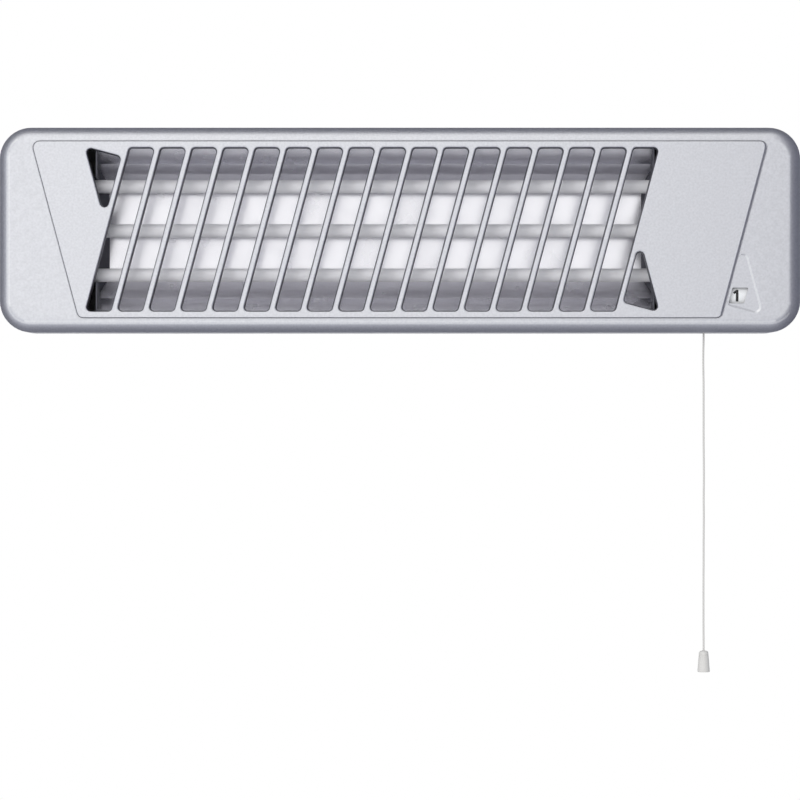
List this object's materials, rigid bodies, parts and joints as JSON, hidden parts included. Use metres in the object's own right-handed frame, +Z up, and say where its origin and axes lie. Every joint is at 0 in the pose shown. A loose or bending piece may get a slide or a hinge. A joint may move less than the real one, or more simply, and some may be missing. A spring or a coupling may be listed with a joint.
{
  "type": "quartz heater",
  "caption": "Wall-mounted quartz heater: a wide rounded body with quartz tubes behind a slanted grille, a tilting wall bracket and a pull cord that steps the switch.",
  "frame": {"origin": "midway between the two wall screws, in the plane of the wall", "axes": "+X to the viewer's right along the body, +Y into the wall, +Z up; the front faces -Y"},
  "size_m": [0.594, 0.109, 0.4053],
  "materials": {
    "silver_paint": "satin silver paint on moulded plastic",
    "silver_grille": "die-cast, satin silver paint",
    "rear_plastic": "light grey, fine grain",
    "steel": "zinc plated",
    "reflector_metal": "polished",
    "dark_steel": "matt black",
    "quartz": "milky, satin",
    "heating_wire": "oxidised",
    "ceramic": "unglazed",
    "brass": "plain",
    "rubber": "matt",
    "black_plastic": "matt",
    "white_plastic": "half gloss",
    "window": "clear",
    "cord_fabric": "braided",
    "wire_red": "sleeve",
    "wire_black": "sleeve",
    "wire_white": "sleeve",
    "wire_blue": "sleeve",
    "wire_brown": "sleeve",
    "wire_green": "sleeve"
  },
  "bodies": {
    "bracket": {"wall_bracket": "steel", "friction_washers": "rubber"},
    "heater": {"pivot_ear_left": "steel", "pivot_ear_right": "steel", "pivot_screws": "steel", "ear_screws": "steel", "rear_housing": "rear_plastic", "housing_gasket": "rubber", "front_housing": "silver_paint", "housing_screws": "steel", "grille_panel": "silver_grille", "panel_screws": "steel", "reflector": "reflector_metal", "end_frame_left": "dark_steel", "end_frame_right": "dark_steel", "reflector_screws": "steel", "quartz_tube_top": "quartz", "quartz_tube_middle": "quartz", "quartz_tube_bottom": "quartz", "heating_coil_top": "heating_wire", "heating_coil_middle": "heating_wire", "heating_coil_bottom": "heating_wire", "ceramic_caps_left": "ceramic", "ceramic_caps_right": "ceramic", "cap_spring_washers": "steel", "terminal_pins_left": "brass", "terminal_pins_right": "brass", "common_link": "brass", "heat_shield": "steel", "small_screws": "steel", "thermal_cutout": "ceramic", "terminal_block": "ceramic", "cable_clamp": "black_plastic", "cable_grommet": "rubber", "lead_stage_1": "wire_red", "lead_stage_2": "wire_black", "lead_stage_3": "wire_white", "lead_common": "wire_blue", "lead_neutral": "wire_blue", "lead_feed": "wire_brown", "lead_earth": "wire_green", "window_lens": "window", "switch_frame": "steel", "switch_frame_screws": "steel", "switch_body": "black_plastic", "switch_cover": "black_plastic", "switch_contacts": "brass", "return_spring": "steel", "cord_bush": "silver_paint"},
    "selector": {"selector_shaft": "steel", "switch_cam": "white_plastic", "ratchet_wheel": "white_plastic", "indicator_drum": "white_plastic"},
    "pulley": {"cord_pulley": "white_plastic", "cord_wrap": "cord_fabric"},
    "lead": {"cord_lead": "cord_fabric"},
    "cord": {"pull_cord": "cord_fabric", "cord_knot": "cord_fabric", "pull_knob": "white_plastic"}
  },
  "joints": [
    {"name": "tilt", "type": "hinge", "parent": "bracket", "child": "heater", "pos_m": [0, -0.034, 0], "axis": [1, 0, 0], "range_deg": [0, 35]},
    {"name": "cord_pull", "type": "slide", "parent": "heater", "child": "lead", "axis": [0, 0, -1], "range_m": [0, 0.0157], "stiffness_N_per_m": 300, "springref_m": -0.006},
    {"name": "cord_swing", "type": "hinge", "parent": "lead", "child": "cord", "pos_m": [0.2269, -0.0815, -0.0768], "axis": [1, 0, 0], "range_deg": [-35, 0]},
    {"name": "pulley_turn", "type": "hinge", "parent": "heater", "child": "pulley", "pos_m": [0.2269, -0.0915, -0.0488], "axis": [-1, 0, 0], "range_deg": [0, 90]},
    {"name": "selector_turn", "type": "hinge", "parent": "heater", "child": "selector", "pos_m": [0.2269, -0.0915, -0.0488], "axis": [-1, 0, 0], "continuous": true}
  ],
  "couplings": [
    {"joint": "cord_swing", "follows": "tilt", "ratio": -1},
    {"joint": "pulley_turn", "follows": "cord_pull", "rad_per_m": 100}
  ]
}
